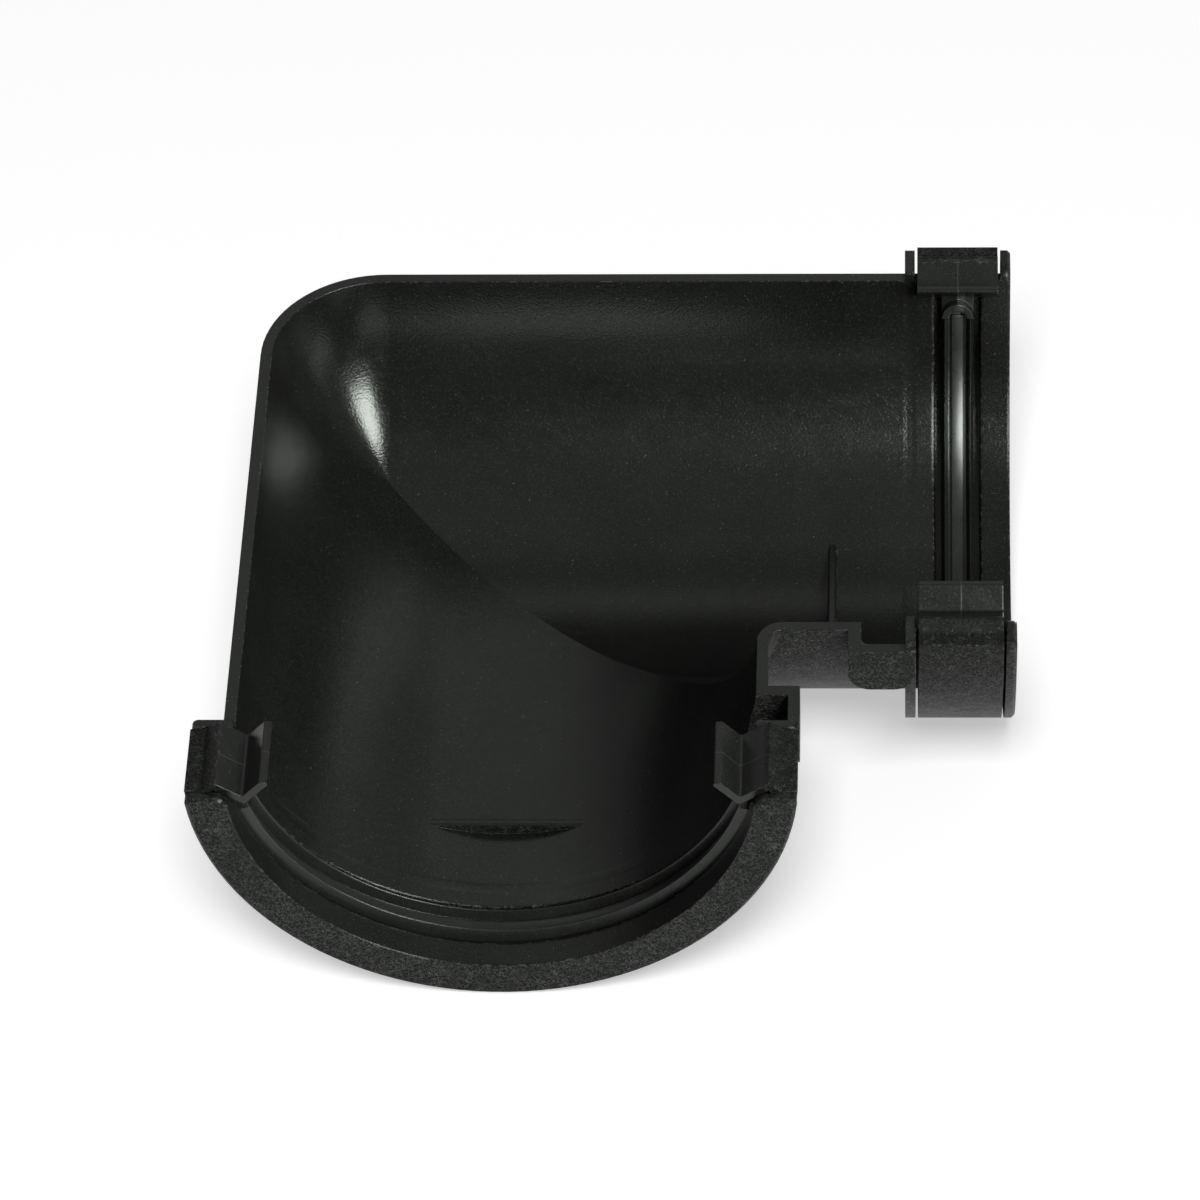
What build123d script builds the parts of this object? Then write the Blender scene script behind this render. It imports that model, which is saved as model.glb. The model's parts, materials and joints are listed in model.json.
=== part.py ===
from build123d import *
import os
from math import acos, cos, degrees, radians, sin, sqrt

# Half-round gutter bend for 112 mm guttering, 90 degrees, with a snap socket on each arm.
# All sizes are in millimetres. The work frame has its origin where the two arm axes cross, at rim
# height. The front arm runs along -Y, the side arm along +X, and each is the other's mirror image.

# Gutter that the sockets take
GUTTER_DIAMETER = 112.0
SOCKET_PLAY = 1.5

# Trough
AXIS_HEIGHT = 7.1
WALL = 2.6
ARM_LENGTH = 114.5
CORNER_RADIUS = 28.0
INNER_CORNER_RADIUS = 3.4
SHARP_RIDGE_HALF_WIDTH = 26.0
BLEND_OVERLAP = 0.1
BLEND_STEPS = 4

# Flange and rib of the socket
FLANGE_HEIGHT = 9.2
FLANGE_THICKNESS = 2.35
RIB_THICKNESS = 2.3
STRAP_BAY = 20.0
RIM_RISE = 2.1
RIB_CORNER = 1.5
FLANGE_INNER_CORNER = 3.0
FLANGE_EDGE = 0.7

# Seal groove and the raised band behind it
LIP_LENGTH = 6.8
GROOVE_WIDTH = 11.0
GROOVE_DEPTH = 4.4
BAND_WALL = 2.7

# Seal
SEAL_CLEARANCE = 0.15
SEAL_BASE = 3.3
SEAL_RIB_WIDTH = 1.6
SEAL_RIB_SPACING = 5.9
SEAL_ARCH_SIDES = 12
SEAL_PANEL_WIDTH = 2.8
SEAL_PANEL_RISE = 0.8
SEAL_SQUEEZE = 0.3
SEAL_END_DROP = 1.2
SEAL_ARCH_DROP = 9.5

# Stop rib on the trough floor
SOCKET_DEPTH = 41.6
STOP_THICKNESS = 2.0
STOP_HEIGHT = 2.8
STOP_EDGE = 0.6

# Pocket in the rim beside the socket, on the inner-corner side
POCKET_LENGTH = 15.05
POCKET_END_WALL = 2.9
POCKET_JOG = 7.0
POCKET_DEPTH = 9.0
POCKET_CORNER = 5.0

# Retaining strap
STRAP_CLEARANCE = 0.3
STRAP_THICKNESS = 1.8
STRAP_END_GAP = 0.6
HOOK_SHOULDER = 3.6
HOOK_RIDGE_INSET = 6.1
HOOK_RIDGE_RISE = 2.5
HOOK_THROAT_INSET = 12.5
HOOK_THROAT_DROP = 1.8
HOOK_LIP_INSET = 16.5
HOOK_BEND = 0.6

# Sizes that follow
TROUGH_RADIUS = GUTTER_DIAMETER / 2 + SOCKET_PLAY
OUTER_RADIUS = TROUGH_RADIUS + WALL
FLANGE_RADIUS = TROUGH_RADIUS + FLANGE_HEIGHT
GROOVE_RADIUS = TROUGH_RADIUS + GROOVE_DEPTH
BAND_RADIUS = GROOVE_RADIUS + BAND_WALL
FLANGE_START = ARM_LENGTH - FLANGE_THICKNESS
RIB_END = FLANGE_START - STRAP_BAY
RIB_START = RIB_END - RIB_THICKNESS
GROOVE_END = ARM_LENGTH - LIP_LENGTH
GROOVE_START = GROOVE_END - GROOVE_WIDTH
POCKET_START = RIB_END - POCKET_LENGTH
STRAP_RADIUS = BAND_RADIUS + STRAP_CLEARANCE + STRAP_THICKNESS
FLOOR = AXIS_HEIGHT - TROUGH_RADIUS
CUT_TOP = RIM_RISE + 3.0

MITRE = Plane(origin=(0, 0, 0), z_dir=(1, 1, 0))
ARM_AXIS = Axis((0, 0, AXIS_HEIGHT), (0, 1, 0))


def half_width(radius, height):
    """Half the width of a half-round profile at a height above the rim."""
    return sqrt(radius**2 - (height - AXIS_HEIGHT) ** 2)


def half_disc(radius, top):
    """The half-round profile, filled, cut level at the given height."""
    disc = Pos(0, AXIS_HEIGHT) * Circle(radius)
    keep = Pos(0, top) * Rectangle(4 * radius, 4 * radius, align=(Align.CENTER, Align.MAX))
    return disc & keep


def along_front_arm(sketch, start, end):
    """Extrude a cross-section between two distances along the front arm."""
    return extrude(Plane.XZ.offset(start) * sketch, amount=end - start)


def on_side_arm(shape):
    """The side arm's copy of a front-arm shape."""
    return mirror(shape, about=MITRE)


# Trough of the bend


def corner_axis():
    """Distance from each arm axis to the upright axis of the rounded outer corner."""
    return half_width(OUTER_RADIUS, 0) - CORNER_RADIUS


def outer_corner(radius):
    """Quarter turn of the arm profile about the upright axis of the outer corner."""
    reach = corner_axis()
    outside = Rectangle(2 * radius, 4 * radius, align=(Align.MIN, Align.MAX))
    profile = (Pos(-reach, AXIS_HEIGHT) * Circle(radius)) & outside
    upright = Plane(origin=(-reach, reach, 0), x_dir=(-1, 0, 0), z_dir=(0, 1, 0))
    return revolve(upright * profile, axis=Axis((-reach, reach, 0), (0, 0, -1)), revolution_arc=90)


def inner_corner_section(width, rounding):
    """Level section of the inner-corner rounding, with its straight sides inside the trough."""
    middle = rounding * (1 - sqrt(0.5))
    arc = ThreePointArc(
        (width, -width - rounding),
        (width + middle, -width - middle),
        (width + rounding, -width),
    )
    sides = Polyline(
        (width + rounding, -width),
        (width + rounding, -width + WALL),
        (width - WALL, -width + WALL),
        (width - WALL, -width - rounding),
        (width, -width - rounding),
    )
    return Pos(-BLEND_OVERLAP, BLEND_OVERLAP) * make_face([arc, *sides.edges()])


def inner_corner(radius, rim_round):
    """Rounding of the inner corner, full at the rim and fading out down the mitre ridge."""
    top = CUT_TOP + 1
    lowest = AXIS_HEIGHT - sqrt(radius**2 - (SHARP_RIDGE_HALF_WIDTH + 1) ** 2)
    sections = []
    for step in range(BLEND_STEPS + 1):
        height = top + (lowest - top) * step / BLEND_STEPS
        width = half_width(radius, height)
        fade = (width - SHARP_RIDGE_HALF_WIDTH) / (half_width(radius, 0) - SHARP_RIDGE_HALF_WIDTH)
        sections.append(Pos(0, 0, height) * inner_corner_section(width, rim_round * fade))
    return loft(sections)


def trough_filling(radius, rim_round):
    """Solid that fills the bend out to the given radius, to a little above the rim."""
    reach = 2 * radius
    arm = along_front_arm(half_disc(radius, CUT_TOP), -reach, ARM_LENGTH)
    arm = split(arm, bisect_by=MITRE, keep=Keep.BOTTOM)
    bend = arm + on_side_arm(arm)
    axis = corner_axis()
    square = Box(reach, reach, 2 * reach, align=(Align.MAX, Align.MIN, Align.CENTER))
    bend = bend - Pos(-axis, axis, 0) * square + outer_corner(radius)
    return bend + inner_corner(radius, rim_round)


# Socket of the front arm


def half_rib(start, end):
    """Half-round plate with its two rounded ends standing above the rim."""
    outline = half_disc(FLANGE_RADIUS, RIM_RISE)
    outline = fillet(outline.vertices(), RIB_CORNER)
    return along_front_arm(outline, start, end)


def end_flange():
    """The ring at the mouth, with rounded ends and its front edge eased."""
    outline = half_disc(FLANGE_RADIUS, RIM_RISE) - half_disc(TROUGH_RADIUS, CUT_TOP)
    corners = outline.vertices().sort_by_distance((0, RIM_RISE))
    outline = fillet(corners[:2], FLANGE_INNER_CORNER)
    outline = fillet(outline.vertices().sort_by_distance((0, RIM_RISE))[-2:], RIB_CORNER)
    plate = along_front_arm(outline, FLANGE_START, ARM_LENGTH)
    mouth = plate.faces().sort_by(Axis.Y)[0]
    return chamfer(mouth.edges(), FLANGE_EDGE)


def pocket_block(start, end, depth, outer, corner):
    """Upright block with rounded lower corners, from inside the trough out to one side."""
    side = Pos(-(start + end) / 2, 0) * Rectangle(end - start, 2 * depth)
    side = fillet(side.vertices().group_by(Axis.Y)[0], corner)
    inside = half_width(TROUGH_RADIUS, -depth) - WALL
    return extrude(Plane.YZ.offset(inside) * side, amount=outer - inside)


def socket_plus():
    """Everything that the front socket adds to the outside of the trough."""
    band = along_front_arm(half_disc(BAND_RADIUS, 0), GROOVE_START - BAND_WALL, GROOVE_END + BAND_WALL)
    plate = half_width(TROUGH_RADIUS, 0) + POCKET_JOG + WALL
    pocket = pocket_block(POCKET_START, RIB_END, POCKET_DEPTH + WALL, plate, POCKET_CORNER)
    below_rim = Pos(plate, -RIB_END, 0) * Box(
        2 * plate, 2 * RIB_END, 4 * plate, align=(Align.CENTER, Align.CENTER, Align.MAX)
    )
    return [end_flange(), half_rib(RIB_START, RIB_END), band, pocket & below_rim]


def socket_minus():
    """Everything that is cut from the front socket beside the trough itself."""
    groove = along_front_arm(half_disc(GROOVE_RADIUS, CUT_TOP), GROOVE_START, GROOVE_END)
    cavity_start = POCKET_START + POCKET_END_WALL
    plate_inside = half_width(TROUGH_RADIUS, 0) + POCKET_JOG
    cavity = pocket_block(cavity_start, RIB_START, POCKET_DEPTH, plate_inside, POCKET_CORNER - WALL)
    return [groove, cavity]


def stop_rib():
    """Low rib across the floor that the gutter's end comes up to."""
    outline = half_disc(TROUGH_RADIUS + WALL / 2, FLOOR + STOP_HEIGHT)
    middle = ARM_LENGTH - SOCKET_DEPTH
    rib = along_front_arm(outline, middle - STOP_THICKNESS / 2, middle + STOP_THICKNESS / 2)
    top = rib.faces().sort_by(Axis.Z)[-1]
    return fillet(top.edges().filter_by(Axis.X), STOP_EDGE)


def make_body():
    """The bend itself, one moulding."""
    above_rim = Box(8 * ARM_LENGTH, 8 * ARM_LENGTH, 2 * CUT_TOP, align=(Align.CENTER, Align.CENTER, Align.MIN))
    body = trough_filling(OUTER_RADIUS, INNER_CORNER_RADIUS) - above_rim
    for piece in socket_plus():
        body = body + piece + on_side_arm(piece)
    body = body - trough_filling(TROUGH_RADIUS, INNER_CORNER_RADIUS + WALL)
    for piece in socket_minus():
        body = body - piece - on_side_arm(piece)
    return body + stop_rib() + on_side_arm(stop_rib())


# Seal of the front socket


def round_arm_axis(profile, half_angle):
    """Turn a profile that stands at the trough's floor to both sides about the arm axis."""
    return revolve(profile.rotate(ARM_AXIS, -half_angle), axis=ARM_AXIS, revolution_arc=2 * half_angle)


def on_groove_floor(section):
    """Stand a radial section on the clearance over the groove floor, at the middle of the groove."""
    middle = (GROOVE_START + GROOVE_END) / 2
    foot = AXIS_HEIGHT - GROOVE_RADIUS + SEAL_CLEARANCE
    return Plane(origin=(0, -middle, foot), x_dir=(0, 1, 0), z_dir=(1, 0, 0)) * section


def seal_block(width, height):
    """Rectangular radial section of the seal."""
    return on_groove_floor(Rectangle(width, height, align=(Align.CENTER, Align.MIN)))


def seal_lip(height):
    """Radial section of a rib: a wedge that stands on the base."""
    side = SEAL_RIB_WIDTH / 2
    points = [(-side, 0), (side, 0), (side, SEAL_BASE), (0, SEAL_BASE + height), (-side, SEAL_BASE)]
    return on_groove_floor(Polygon(*points, align=None))


def make_seal():
    """Rubber seal: a base strip, a raised middle panel and two ribs joined by an arch at each end."""
    base_radius = GROOVE_RADIUS - SEAL_CLEARANCE - SEAL_BASE
    rib_height = base_radius - GUTTER_DIAMETER / 2 + SEAL_SQUEEZE
    end_angle = degrees(acos((AXIS_HEIGHT + SEAL_END_DROP) / base_radius))
    arch_angle = degrees(acos((AXIS_HEIGHT + SEAL_ARCH_DROP) / base_radius))

    seal = round_arm_axis(seal_block(SEAL_RIB_SPACING + SEAL_RIB_WIDTH, SEAL_BASE), end_angle)
    seal += round_arm_axis(seal_block(SEAL_PANEL_WIDTH, SEAL_BASE + SEAL_PANEL_RISE), arch_angle)
    for side in (-1, 1):
        lip = Pos(0, side * SEAL_RIB_SPACING / 2, 0) * seal_lip(rib_height)
        seal += round_arm_axis(lip, arch_angle)
    arch = seal_arch(base_radius, rib_height, radians(arch_angle))
    return seal + arch + mirror(arch, about=Plane.YZ)


def seal_arch(base_radius, rib_height, angle):
    """Half ring that joins the two ribs at the end of the seal."""
    outer = RegularPolygon((SEAL_RIB_SPACING + SEAL_RIB_WIDTH) / 2, SEAL_ARCH_SIDES)
    hole = RegularPolygon((SEAL_RIB_SPACING - SEAL_RIB_WIDTH) / 2, SEAL_ARCH_SIDES)
    upper = Rectangle(2 * GROOVE_WIDTH, GROOVE_WIDTH, align=(Align.CENTER, Align.MIN))
    seat = Plane(
        origin=(
            base_radius * sin(angle),
            -(GROOVE_START + GROOVE_END) / 2,
            AXIS_HEIGHT - base_radius * cos(angle),
        ),
        x_dir=(0, -1, 0),
        z_dir=(-sin(angle), 0, cos(angle)),
    )
    root = SEAL_BASE / 2
    return extrude(seat.offset(-root) * ((outer - hole) & upper), amount=root + rib_height)


# Strap of the front socket


def strip(points, thickness):
    """Outline of a bent strip whose upper face follows the given points."""
    runs = [(b - a).normalized() for a, b in zip(points, points[1:])]
    normals = [Vector(-run.Y, run.X) for run in runs]
    under = []
    for point, before, after in zip(points, [normals[0], *normals], [*normals, normals[-1]]):
        under.append(point + (before + after) * (thickness / (1 + before.dot(after))))
    return Polygon(*points, *reversed(under), align=None)


def hook_outline():
    """Right-hand hook: shoulder over the rim, ridge, throat that holds the gutter, thumb lip."""
    side = half_width(STRAP_RADIUS, RIM_RISE)
    ridge = RIM_RISE + HOOK_RIDGE_RISE
    throat = RIM_RISE - HOOK_THROAT_DROP
    lip_run = HOOK_LIP_INSET - HOOK_THROAT_INSET
    upper_face = [
        Vector(side - STRAP_THICKNESS / 2, RIM_RISE),
        Vector(side - HOOK_SHOULDER, RIM_RISE),
        Vector(side - HOOK_RIDGE_INSET, ridge),
        Vector(side - HOOK_THROAT_INSET, throat),
        Vector(side - HOOK_THROAT_INSET - 2 * lip_run, throat + 2 * (ridge - throat)),
    ]
    level = Pos(side, ridge) * Rectangle(4 * side, 2 * side, align=(Align.CENTER, Align.MAX))
    outline = strip(upper_face, STRAP_THICKNESS) & level
    lip_edges = outline.vertices().group_by(Axis.Y)[-1]
    bends = outline.vertices().filter_by(lambda corner: Vector(*corner) in upper_face[1:4])
    return fillet(lip_edges + bends, HOOK_BEND)


def make_strap():
    """U-shaped strap round the outside of the socket, with a hook over each rim."""
    band = half_disc(STRAP_RADIUS, RIM_RISE) - half_disc(STRAP_RADIUS - STRAP_THICKNESS, CUT_TOP)
    hook = hook_outline()
    outline = band + hook + mirror(hook, about=Plane.YZ)
    return along_front_arm(outline, RIB_END + STRAP_END_GAP, FLANGE_START - STRAP_END_GAP)


body = make_body()
seal = make_seal()
strap = make_strap()
nodes = {
    "bend_body": body,
    "front_seal": seal,
    "side_seal": on_side_arm(seal),
    "front_strap": strap,
    "side_strap": on_side_arm(strap),
}

# The part's own origin is the middle of its underside
box = Compound(list(nodes.values())).bounding_box()
to_origin = Pos(-box.center().X, -box.center().Y, -box.min.Z)

os.makedirs("parts", exist_ok=True)
for name, shape in nodes.items():
    export_step(to_origin * shape, f"parts/{name}.step")
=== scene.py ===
import json
from math import pi, radians

import bpy
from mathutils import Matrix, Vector


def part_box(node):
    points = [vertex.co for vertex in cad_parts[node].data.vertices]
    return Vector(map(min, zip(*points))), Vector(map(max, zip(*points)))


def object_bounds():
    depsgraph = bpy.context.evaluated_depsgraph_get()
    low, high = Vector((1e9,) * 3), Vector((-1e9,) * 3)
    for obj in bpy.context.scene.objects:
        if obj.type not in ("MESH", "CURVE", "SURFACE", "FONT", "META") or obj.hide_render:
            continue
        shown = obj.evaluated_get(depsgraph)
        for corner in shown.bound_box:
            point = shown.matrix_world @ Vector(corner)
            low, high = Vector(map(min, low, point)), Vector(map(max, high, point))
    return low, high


# Half-round gutter bend in black plastic, with rubber seals and snap straps, on a white studio floor.
# Lengths are in metres.

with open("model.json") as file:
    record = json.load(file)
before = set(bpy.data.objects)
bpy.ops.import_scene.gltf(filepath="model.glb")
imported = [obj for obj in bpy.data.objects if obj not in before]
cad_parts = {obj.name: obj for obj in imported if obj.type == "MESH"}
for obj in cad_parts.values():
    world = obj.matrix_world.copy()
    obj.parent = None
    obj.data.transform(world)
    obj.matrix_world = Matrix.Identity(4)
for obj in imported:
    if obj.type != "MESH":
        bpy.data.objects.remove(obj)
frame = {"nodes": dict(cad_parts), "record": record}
cad_low, cad_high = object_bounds()
nodes = frame["nodes"]
sockets = {mount["name"]: Vector(mount["pos_m"]) for mount in frame["record"]["mounts"]}

# The two arm axes cross here
CROSSING = Vector((sockets["front_socket"].x, sockets["side_socket"].y, sockets["front_socket"].z))

# Places along an arm, measured from that crossing
SOCKET_START = (0.0885, 0.0895)
RIB = 0.091
LIP_START = (0.107, 0.1075)

# Dark and light shade of each material
BODY_SHADES = (0.0040, 0.0045, 0.0039, 1), (0.0058, 0.0065, 0.0056, 1)
STRAP_SHADES = (0.0052, 0.0058, 0.0051, 1), (0.0072, 0.0080, 0.0071, 1)
RUBBER_SHADES = (0.0068, 0.0076, 0.0067, 1), (0.0096, 0.0106, 0.0094, 1)

# Colours laid over them
# Fine speckle: partly the grain's own tone, partly painted glints of its crests
SPECKLE_AND_GLINTS = (0.026, 0.028, 0.025, 1)
# Pale specks: partly dust, partly painted glints
DUST_AND_GLINTS = (0.12, 0.12, 0.11, 1)
# Painted highlight on the grain's crests
CREST_HIGHLIGHT = (0.048, 0.052, 0.048, 1)
# Edges: partly wear, partly painted highlight
EDGE_WEAR_AND_HIGHLIGHT = (0.075, 0.079, 0.074, 1)
PARTING_LINE = (0.04, 0.043, 0.039, 1)

# Tints of the reflections
BODY_SHEEN = (0.93, 1.0, 0.92, 1)
SHEEN = (0.94, 1.0, 0.93, 1)

PLASTIC_IOR = 1.45
RUBBER_IOR = 1.5

# Relief heights
GRAIN_DEPTH = 0.0001
POLISHED_GRAIN_DEPTH = 0.000004
TROUGH_TEXTURE_DEPTH = 0.00004
SINK_DEPTH = 0.00005
PARTING_LINE_HEIGHT = 0.000016
RUBBER_TEXTURE_DEPTH = 0.00001

# Half width of a seal's middle panel, its crown and its lean to the mouth
PANEL_HALF = 0.0014
PANEL_CROWN = 50.0
PANEL_LEAN = 0.1

FLOOR_REACH = 4.0
FLOOR_GLOW = 0.49


# Node trees


class Finish:
    """A material with short calls for the nodes that the finishes are made of."""

    def __init__(self, name):
        self.material = bpy.data.materials.new(name)
        self.material.use_nodes = True
        self.tree = self.material.node_tree
        self.shader = self.tree.nodes["Principled BSDF"]
        self.place = self.node("ShaderNodeTexCoord").outputs["Object"]
        self.normal = self.node("ShaderNodeNewGeometry").outputs["Normal"]

    def node(self, kind, inputs=None, **settings):
        made = self.tree.nodes.new(kind)
        for key, value in settings.items():
            setattr(made, key, value)
        for key, value in (inputs or {}).items():
            self.put(made.inputs[key], value)
        return made

    def put(self, socket, value):
        """Link an output to a socket, or set the socket to a plain value."""
        if isinstance(value, bpy.types.NodeSocket):
            self.tree.links.new(value, socket)
        else:
            socket.default_value = value

    def set(self, **inputs):
        """Set the shader's own sockets, with underscores for the spaces in their names."""
        for key, value in inputs.items():
            self.put(self.shader.inputs[key.replace("_", " ")], value)

    def math(self, operation, a, b=0.0):
        return self.node("ShaderNodeMath", {0: a, 1: b}, operation=operation).outputs[0]

    def distance(self, a, b):
        """Distance between two numbers."""
        return self.math("ABSOLUTE", self.math("SUBTRACT", a, b))

    def vector(self, operation, a, b=(0, 0, 0)):
        made = self.node("ShaderNodeVectorMath", {0: a, 1: b}, operation=operation)
        return made.outputs["Value" if operation == "DOT_PRODUCT" else "Vector"]

    def split(self, vector):
        """The X, Y and Z of a vector."""
        return self.node("ShaderNodeSeparateXYZ", {0: vector}).outputs

    def noise(self, scale, detail=2.0, roughness=0.5, distortion=0.0):
        inputs = {"Vector": self.place, "Scale": scale, "Detail": detail, "Roughness": roughness}
        return self.node("ShaderNodeTexNoise", {**inputs, "Distortion": distortion}).outputs["Fac"]

    def ramp(self, value, low, high, start=0.0, end=1.0):
        """Move a value from the range low-high to start-end, held at both ends."""
        inputs = {"Value": value, "From Min": low, "From Max": high, "To Min": start, "To Max": end}
        return self.node("ShaderNodeMapRange", inputs).outputs["Result"]

    def blend(self, factor, a, b):
        """Mix two numbers."""
        return self.node("ShaderNodeMix", {"Factor": factor, 2: a, 3: b}).outputs[0]

    def tint(self, factor, a, b):
        """Mix two colours."""
        mix = self.node("ShaderNodeMix", {"Factor": factor, 6: a, 7: b}, data_type="RGBA")
        return mix.outputs[2]

    def relief(self, height, depth, strength=1.0, normal=None):
        inputs = {"Height": height, "Distance": depth, "Strength": strength}
        if normal:
            inputs["Normal"] = normal
        return self.node("ShaderNodeBump", inputs).outputs["Normal"]

    def soft_edges(self, radius):
        return self.node("ShaderNodeBevel", {"Radius": radius}, samples=6).outputs["Normal"]


class ArmPlaces:
    """Where a point lies on the arm that it belongs to."""

    def __init__(self, finish):
        x, y, z = finish.split(finish.vector("SUBTRACT", finish.place, CROSSING))
        on_side_arm = finish.math("GREATER_THAN", finish.math("ADD", x, y), 0.0)
        on_front_arm = finish.math("SUBTRACT", 1.0, on_side_arm)
        across = {
            "X": finish.math("MULTIPLY", x, on_front_arm),
            "Y": finish.math("MULTIPLY", y, on_side_arm),
            "Z": z,
        }
        outward = finish.vector("NORMALIZE", finish.node("ShaderNodeCombineXYZ", across).outputs[0])
        facing = finish.vector("DOT_PRODUCT", outward, finish.normal)
        self.inside = finish.ramp(facing, -0.2, -0.5)
        self.along = finish.blend(on_side_arm, finish.math("MULTIPLY", y, -1.0), x)


# Finishes


def moulded_colour(finish, shades):
    """A faint cloudiness between two shades, a fine speckle that is partly the grain's own tone and
    partly painted glints, and a few pale specks that are partly dust and partly painted glints.
    """
    dark, light = shades
    cloud = finish.ramp(finish.noise(55, 4.0, 0.6), 0.35, 0.65)
    colour = finish.tint(cloud, dark, light)
    # Fine speckle, partly the grain's own tone and partly painted glints of its crests
    speckle_and_glints = finish.ramp(finish.noise(2800, 2.0), 0.52, 0.68, 0.0, 0.36)
    colour = finish.tint(speckle_and_glints, colour, SPECKLE_AND_GLINTS)
    # Pale specks, partly dust and partly painted glints
    dust_and_glints = finish.ramp(finish.noise(1700, 1.0), 0.72, 0.79, 0.0, 0.3)
    return finish.tint(dust_and_glints, colour, DUST_AND_GLINTS)


def spark_worms(finish):
    """Pattern of the wormy crests that a spark-eroded mould leaves, 1 on the crests."""
    swirl = finish.noise(1150, 2.0, 0.5, distortion=0.8)
    return finish.ramp(finish.distance(swirl, 0.5), 0.0, 0.05, 1.0, 0.0)


def grain_finish(finish, colour, smooth, smooth_roughness, smooth_gloss, crest_gloss, edge_radius):
    """Spark-eroded grain with glossier crests painted lighter as highlights, and edges painted lighter
    as part wear and part highlight, fading to a smooth finish; gives the normal.
    """
    worms = spark_worms(finish)
    grain = finish.math("SUBTRACT", 1.0, smooth)
    # Painted highlights: the grain's crests are painted lighter, in patches
    crest_highlights = finish.math("MULTIPLY", worms, grain)
    patches = finish.ramp(finish.noise(240, 3.0), 0.35, 0.65, 0.0, 0.8)
    colour = finish.tint(finish.math("MULTIPLY", crest_highlights, patches), colour, CREST_HIGHLIGHT)
    # Edges painted lighter in spots: partly wear, partly painted highlight where the edges catch the
    # light
    edges = finish.soft_edges(edge_radius)
    on_edge = finish.ramp(finish.vector("DOT_PRODUCT", edges, finish.normal), 0.97, 0.86)
    edge_spots = finish.ramp(finish.noise(900, 2.0, 0.6), 0.52, 0.62, 0.0, 0.8)
    edge_wear_and_highlights = finish.math("MULTIPLY", on_edge, edge_spots)
    finish.set(Base_Color=finish.tint(edge_wear_and_highlights, colour, EDGE_WEAR_AND_HIGHLIGHT))
    gloss = finish.ramp(worms, 0.0, 1.0, 0.2 * crest_gloss, crest_gloss)
    finish.set(Specular_IOR_Level=finish.blend(smooth, gloss, smooth_gloss))
    wear = finish.noise(260, 3.0, 0.6)
    rubbed = finish.ramp(wear, 0.3, 0.7, 0.36, 0.46)
    polished = finish.ramp(wear, 0.3, 0.7, smooth_roughness, smooth_roughness + 0.05)
    finish.set(Roughness=finish.blend(smooth, rubbed, polished))
    height = finish.math("ADD", worms, finish.math("MULTIPLY", finish.noise(2100, 2.0), 0.7))
    depth = finish.blend(smooth, GRAIN_DEPTH, POLISHED_GRAIN_DEPTH)
    return finish.relief(height, depth, 1.0, edges)


def body_plastic():
    """Grained outside and end faces, and a smooth, glossier trough with a sink mark over each rib."""
    finish = Finish("body_plastic")
    arm = ArmPlaces(finish)
    level = finish.ramp(finish.split(finish.normal)["Z"], 0.85, 0.97)
    smooth = finish.math("MAXIMUM", arm.inside, level)
    colour = moulded_colour(finish, BODY_SHADES)
    edge_radius = finish.ramp(arm.along, *SOCKET_START, 0.0004, 0.001)
    trough_gloss = finish.ramp(arm.along, *LIP_START, 0.5, 0.3)
    grained = grain_finish(finish, colour, smooth, 0.17, trough_gloss, 0.55, edge_radius)
    finish.set(IOR=PLASTIC_IOR, Specular_Tint=BODY_SHEEN)
    sink = finish.ramp(finish.distance(arm.along, RIB), 0.0006, 0.0016, -SINK_DEPTH, 0.0)
    sunk = finish.relief(finish.math("MULTIPLY", sink, arm.inside), 1.0, 1.0, grained)
    depth = finish.blend(smooth, 0.0, TROUGH_TEXTURE_DEPTH)
    finish.set(Normal=finish.relief(finish.noise(2100, 1.0), depth, 1.0, sunk))
    return finish.material


def strap_plastic(node, across, along):
    """Grained band and shoulders, smooth hooks with a mould parting line across them."""
    finish = Finish(node + "_plastic")
    low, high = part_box(node)
    place = finish.split(finish.vector("SUBTRACT", finish.place, CROSSING))
    half_width = (high["XYZ".index(across)] - low["XYZ".index(across)]) / 2
    from_middle = finish.math("ABSOLUTE", place[across])
    over_trough = finish.ramp(from_middle, half_width - 0.0075, half_width - 0.0065, 1.0, 0.0)
    hook = finish.math("MULTIPLY", over_trough, finish.ramp(place["Z"], -0.0095, -0.0085))
    axis = "XYZ".index(along)
    middle = (low[axis] + high[axis]) / 2 - CROSSING[axis]
    off_line = finish.distance(place[along], middle)
    line = finish.math("MULTIPLY", finish.ramp(off_line, 0.0, 0.00025, 1.0, 0.0), hook)
    colour = moulded_colour(finish, STRAP_SHADES)
    colour = finish.tint(finish.math("MULTIPLY", line, 0.45), colour, PARTING_LINE)
    edge_radius = finish.blend(hook, 0.0006, 0.0003)
    grained = grain_finish(finish, colour, hook, 0.19, 0.46, 0.34, edge_radius)
    finish.set(IOR=PLASTIC_IOR, Specular_Tint=SHEEN)
    finish.set(Normal=finish.relief(line, PARTING_LINE_HEIGHT, 1.0, grained))
    return finish.material


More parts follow.
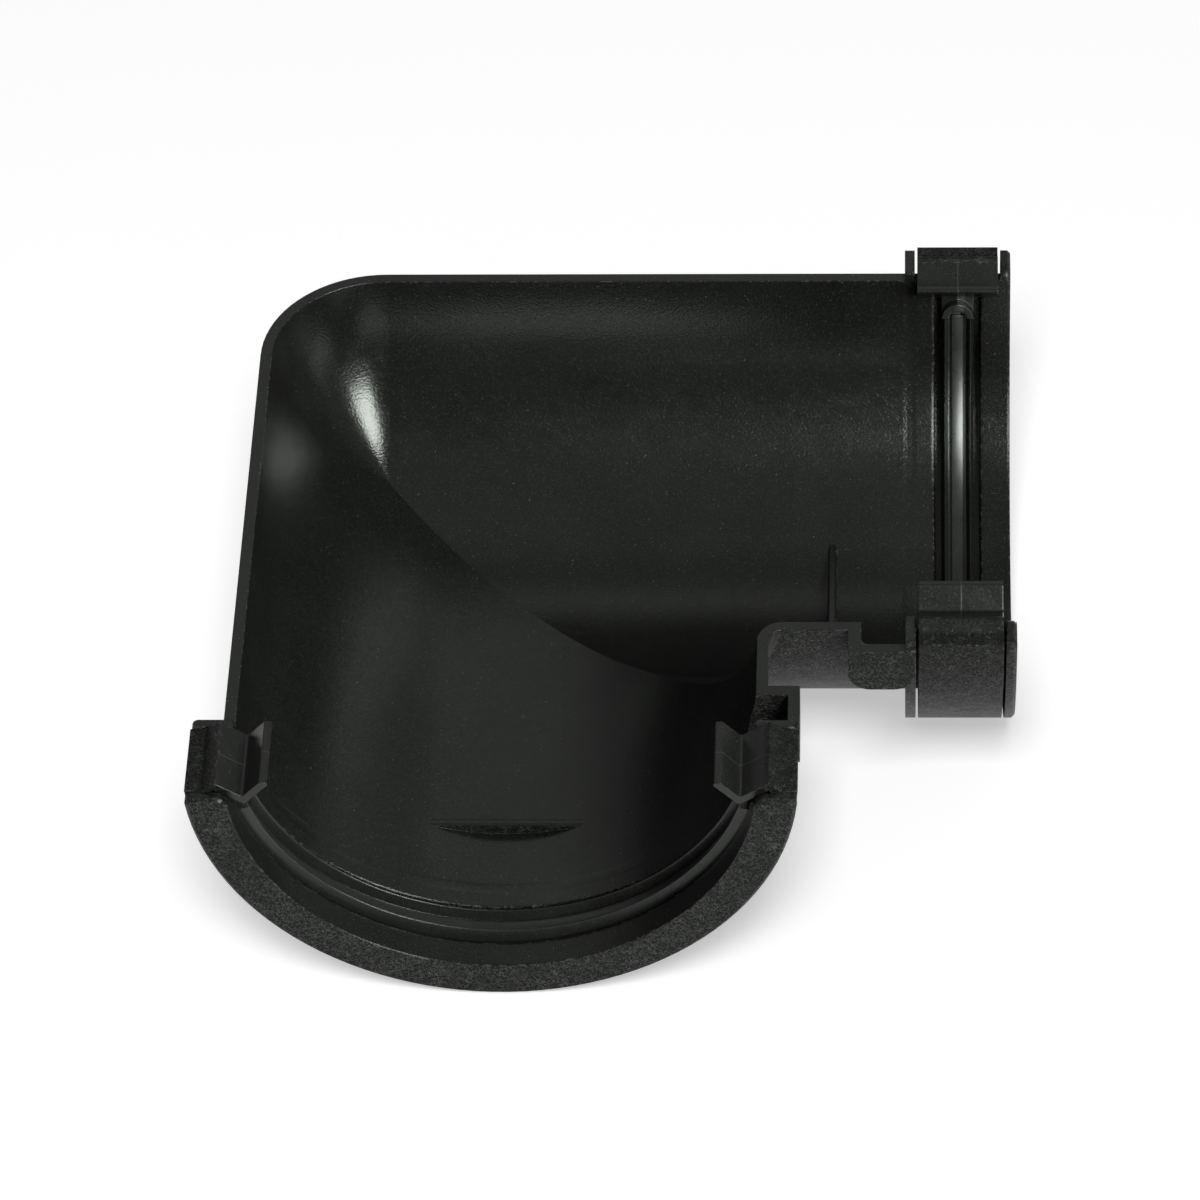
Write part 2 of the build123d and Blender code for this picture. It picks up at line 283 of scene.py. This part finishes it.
def seal_rubber(node, along):
    """Smooth black rubber, with its middle panel crowned and leaning to the mouth."""
    finish = Finish(node + "_rubber")
    low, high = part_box(node)
    finish.set(Base_Color=moulded_colour(finish, RUBBER_SHADES))
    roughness = finish.ramp(finish.noise(350, 3.0), 0.3, 0.7, 0.26, 0.32)
    finish.set(Roughness=roughness, IOR=RUBBER_IOR, Specular_Tint=SHEEN)
    axis = "XYZ".index(along)
    off_middle = finish.math("SUBTRACT", finish.split(finish.place)[along], (low[axis] + high[axis]) / 2)
    to_mouth = PANEL_HALF if along == "X" else -PANEL_HALF
    on_panel = finish.ramp(off_middle, -PANEL_HALF, PANEL_HALF, -to_mouth, to_mouth)
    slope = finish.math("SUBTRACT", finish.math("MULTIPLY", on_panel, -PANEL_CROWN), PANEL_LEAN)
    height = finish.math("MULTIPLY", on_panel, slope)
    crowned = finish.relief(height, 1.0, 1.0, finish.soft_edges(0.0004))
    finish.set(Normal=finish.relief(finish.noise(3000, 2.0), RUBBER_TEXTURE_DEPTH, 0.5, crowned))
    return finish.material


def dress(node, material):
    """Give a node its finish."""
    piece = nodes[node]
    piece.data.materials.clear()
    piece.data.materials.append(material)


dress("bend_body", body_plastic())
dress("front_strap", strap_plastic("front_strap", "X", "Y"))
dress("side_strap", strap_plastic("side_strap", "Y", "X"))
dress("front_seal", seal_rubber("front_seal", "Y"))
dress("side_seal", seal_rubber("side_seal", "X"))


# Studio


def add_floor():
    """White floor that keeps the object's shadow, and glows only where it is seen or mirrored."""
    mesh = bpy.data.meshes.new("floor")
    reach = FLOOR_REACH
    corners = [(-reach, -reach, 0), (reach, -reach, 0), (reach, reach, 0), (-reach, reach, 0)]
    mesh.from_pydata(corners, [], [(0, 1, 2, 3)])
    floor = bpy.data.objects.new("floor", mesh)
    bpy.context.scene.collection.objects.link(floor)
    finish = Finish("floor_white")
    finish.set(Base_Color=(0.7, 0.7, 0.7, 1), Roughness=0.9, Specular_IOR_Level=0.1)
    path = finish.node("ShaderNodeLightPath").outputs
    seen = finish.math("MAXIMUM", path["Is Camera Ray"], path["Is Glossy Ray"])
    finish.set(Emission_Color=(1, 1, 1, 1), Emission_Strength=finish.math("MULTIPLY", seen, FLOOR_GLOW))
    mesh.materials.append(finish.material)
    return floor


def add_world():
    """Dim studio, a little lighter behind the object than in front of it."""
    world = bpy.data.worlds.new("studio")
    world.use_nodes = True
    bpy.context.scene.world = world
    tree = world.node_tree
    direction = tree.nodes.new("ShaderNodeTexCoord")
    parts = tree.nodes.new("ShaderNodeSeparateXYZ")
    tree.links.new(direction.outputs["Generated"], parts.inputs[0])
    level = tree.nodes.new("ShaderNodeMapRange")
    for key, value in {"From Min": -1.0, "From Max": 1.0, "To Min": 0.07, "To Max": 0.27}.items():
        level.inputs[key].default_value = value
    tree.links.new(parts.outputs["Y"], level.inputs["Value"])
    tree.links.new(level.outputs["Result"], tree.nodes["Background"].inputs["Strength"])
    tree.nodes["Background"].inputs["Color"].default_value = (1, 1, 1, 1)


def add_softbox(name, place, target, size, radiance, lit):
    """Rectangular lamp of a given brightness, turned to a point, that lights only some objects."""
    lamp = bpy.data.lights.new(name, "AREA")
    lamp.shape = "RECTANGLE"
    lamp.size, lamp.size_y = size
    lamp.energy = radiance * pi * size[0] * size[1]
    softbox = bpy.data.objects.new(name, lamp)
    softbox.location = place
    softbox.rotation_euler = (Vector(target) - Vector(place)).to_track_quat("-Z", "Y").to_euler()
    bpy.context.scene.collection.objects.link(softbox)
    softbox.light_linking.receiver_collection = bpy.data.collections.new(name + "_lights")
    for receiver in lit:
        softbox.light_linking.receiver_collection.objects.link(receiver)


def add_camera():
    """Camera at the photograph's place, looking down into the trough."""
    lens = bpy.data.cameras.new("camera")
    lens.sensor_width = 36.0
    lens.lens = 201.40
    camera = bpy.data.objects.new("camera", lens)
    camera.location = (0.06339, -1.09846, 1.10209)
    camera.rotation_euler = [radians(angle) for angle in (45.8376, 1.752, 1.7991)]
    bpy.context.scene.collection.objects.link(camera)
    bpy.context.scene.camera = camera


floor = add_floor()
add_world()
outer_corner = Vector((cad_low.x + 0.02, cad_high.y - 0.02, 0.035))
key = outer_corner + 1.5 * Vector((0.546, -0.606, 0.578))
pieces = nodes.values()
add_softbox("key", key, outer_corner, (0.72, 0.70), 23.0, pieces)
add_softbox("front", (0.08, -1.4, 0.33), (0.063, 0.075, 0.041), (0.05, 0.12), 5.0, pieces)
add_softbox("overhead", (0.0, -0.38, 1.6), (0.0, -0.38, 0.0), (1.8, 1.9), 0.14, pieces)
add_softbox("back", (-0.39, 1.06, 1.13), (0.0, 0.0, 0.03), (2.4, 0.54), 0.27, pieces)
add_softbox("floor_light", (0.05, -1.38, 2.08), (0.0, 0.0, 0.0), (0.72, 0.72), 29.0, [floor])
add_camera()
bpy.context.scene.view_settings.view_transform = "Standard"
